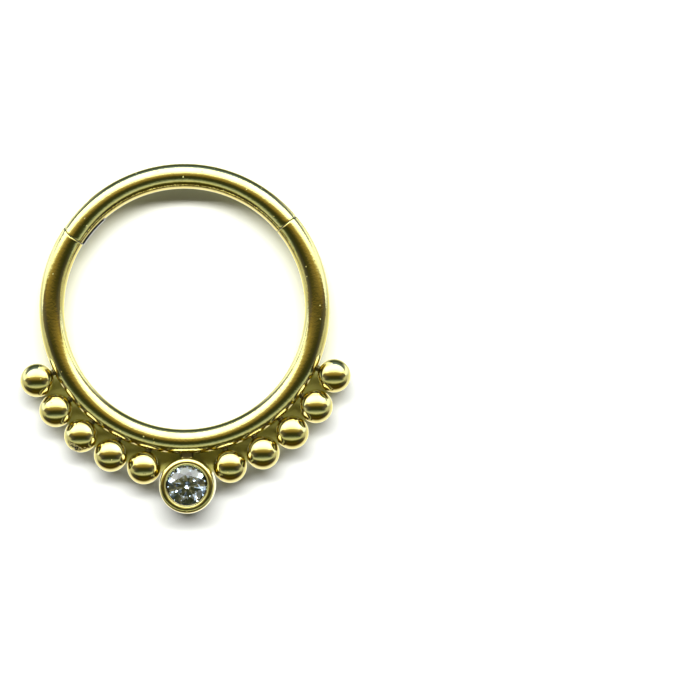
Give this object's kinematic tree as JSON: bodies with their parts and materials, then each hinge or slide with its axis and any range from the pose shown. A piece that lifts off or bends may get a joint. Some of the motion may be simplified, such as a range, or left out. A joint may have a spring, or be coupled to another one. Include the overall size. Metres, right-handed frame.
{
  "type": "hinged segment ring",
  "caption": "Round wire ring for a piercing: a hinged gate clicks shut on a lower arc set with beads and a bezel-set round stone.",
  "frame": {"origin": "on the surface that the ring lies on, below the middle of the part's box", "axes": "+Z is the side that faces out when worn, +Y points from the setting to the middle of the gate, +X away from the hinge"},
  "size_m": [0.0164, 0.0174, 0.0017],
  "materials": {
    "gold_coat": "polished gold-colour coat on steel",
    "bare_steel": "bare ground steel",
    "clear_stone": "clear cut stone"
  },
  "bodies": {
    "ring": {"ring_body": "gold_coat", "hinge_tongue": "bare_steel", "bezel_setting": "gold_coat", "stone": "clear_stone", "bead_left_1": "gold_coat", "bead_left_2": "gold_coat", "bead_left_3": "gold_coat", "bead_left_4": "gold_coat", "bead_left_5": "gold_coat", "bead_right_1": "gold_coat", "bead_right_2": "gold_coat", "bead_right_3": "gold_coat", "bead_right_4": "gold_coat", "bead_right_5": "gold_coat"},
    "gate": {"gate": "gold_coat", "hinge_pin": "gold_coat", "latch_pin": "bare_steel"}
  },
  "joints": [
    {"name": "gate_hinge", "type": "hinge", "parent": "ring", "child": "gate", "pos_m": [-0.00489, 0.00595, 0.00084], "axis": [0, 0, 1], "range_deg": [0, 90]}
  ]
}
